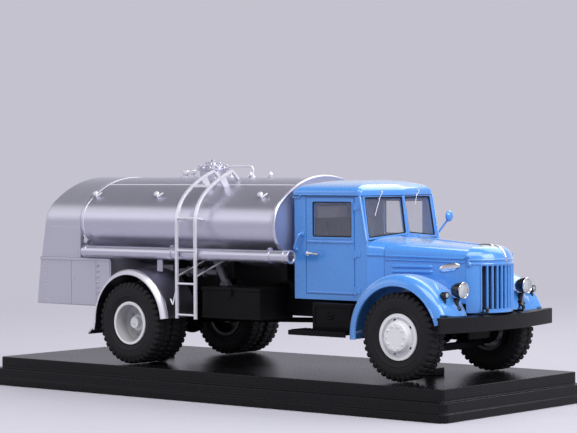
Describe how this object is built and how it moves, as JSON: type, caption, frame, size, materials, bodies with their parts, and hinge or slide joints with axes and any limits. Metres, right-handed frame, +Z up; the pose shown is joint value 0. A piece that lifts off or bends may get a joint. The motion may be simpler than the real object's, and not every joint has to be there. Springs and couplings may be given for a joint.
{
  "type": "model tanker truck on display plinth",
  "caption": "Small display model of a bonneted tanker truck with an oval tank, side ladder, hose tubes and free-rolling wheels, fixed to a stepped plinth.",
  "frame": {"origin": "middle of the underside of the plinth", "axes": "+X towards the front of the truck, +Y to its left, +Z up"},
  "size_m": [0.1894, 0.0752, 0.0743],
  "materials": {
    "plinth_black": "satin",
    "chassis_black": "satin",
    "cab_interior": "matte",
    "cab_blue": "gloss",
    "cab_clear": "gloss",
    "radiator_black": "matte",
    "bright_trim": "polished",
    "lamp_black": "gloss",
    "lamp_clear": "gloss",
    "tank_silver": "metallic",
    "body_silver": "metallic",
    "pipe_grey": "metallic",
    "lamp_red": "gloss",
    "tyre_black": "matte",
    "wheel_white": "gloss"
  },
  "bodies": {
    "model": {"plinth": "plinth_black", "plinth_posts": "plinth_black", "frame_rails": "chassis_black", "cross_members": "chassis_black", "front_axle": "chassis_black", "rear_axle": "chassis_black", "leaf_springs": "chassis_black", "driveline": "chassis_black", "bumper": "chassis_black", "tow_hooks": "chassis_black", "side_boxes": "chassis_black", "cab_steps": "chassis_black", "tank_saddles": "chassis_black", "cab_floor": "cab_interior", "steering_wheel": "cab_interior", "cab_side_right": "cab_blue", "cab_side_left": "cab_blue", "cab_back": "cab_blue", "cab_front": "cab_blue", "cab_roof": "cab_blue", "bonnet": "cab_blue", "radiator_shell": "cab_blue", "front_wing_right": "cab_blue", "front_wing_left": "cab_blue", "mirror_arm": "cab_blue", "grab_handles": "cab_blue", "cab_glass": "cab_clear", "radiator_core": "radiator_black", "bonnet_trim": "bright_trim", "lamps": "lamp_black", "lamp_lenses": "lamp_clear", "tank": "tank_silver", "tank_end": "tank_silver", "hatch": "tank_silver", "tank_fittings": "tank_silver", "ladder": "tank_silver", "hose_tubes": "tank_silver", "rear_wings": "tank_silver", "rear_shroud": "body_silver", "rear_lockers": "body_silver", "pump_pipes": "pipe_grey", "tail_lamps": "lamp_red"},
    "front_right_wheel": {"front_tyre_right": "tyre_black", "front_wheel_right": "wheel_white"},
    "front_left_wheel": {"front_tyre_left": "tyre_black", "front_wheel_left": "wheel_white"},
    "rear_right_wheel": {"rear_tyres_right": "tyre_black", "rear_wheel_right": "wheel_white"},
    "rear_left_wheel": {"rear_tyres_left": "tyre_black", "rear_wheel_left": "wheel_white"}
  },
  "joints": [
    {"name": "front_right_roll", "type": "hinge", "parent": "model", "child": "front_right_wheel", "pos_m": [0.069, -0.02245, 0.0222], "axis": [0, 1, 0], "continuous": true},
    {"name": "front_left_roll", "type": "hinge", "parent": "model", "child": "front_left_wheel", "pos_m": [0.069, 0.02245, 0.0222], "axis": [0, 1, 0], "continuous": true},
    {"name": "rear_right_roll", "type": "hinge", "parent": "model", "child": "rear_right_wheel", "pos_m": [-0.0361, -0.02275, 0.0222], "axis": [0, 1, 0], "continuous": true},
    {"name": "rear_left_roll", "type": "hinge", "parent": "model", "child": "rear_left_wheel", "pos_m": [-0.0361, 0.02275, 0.0222], "axis": [0, 1, 0], "continuous": true}
  ]
}
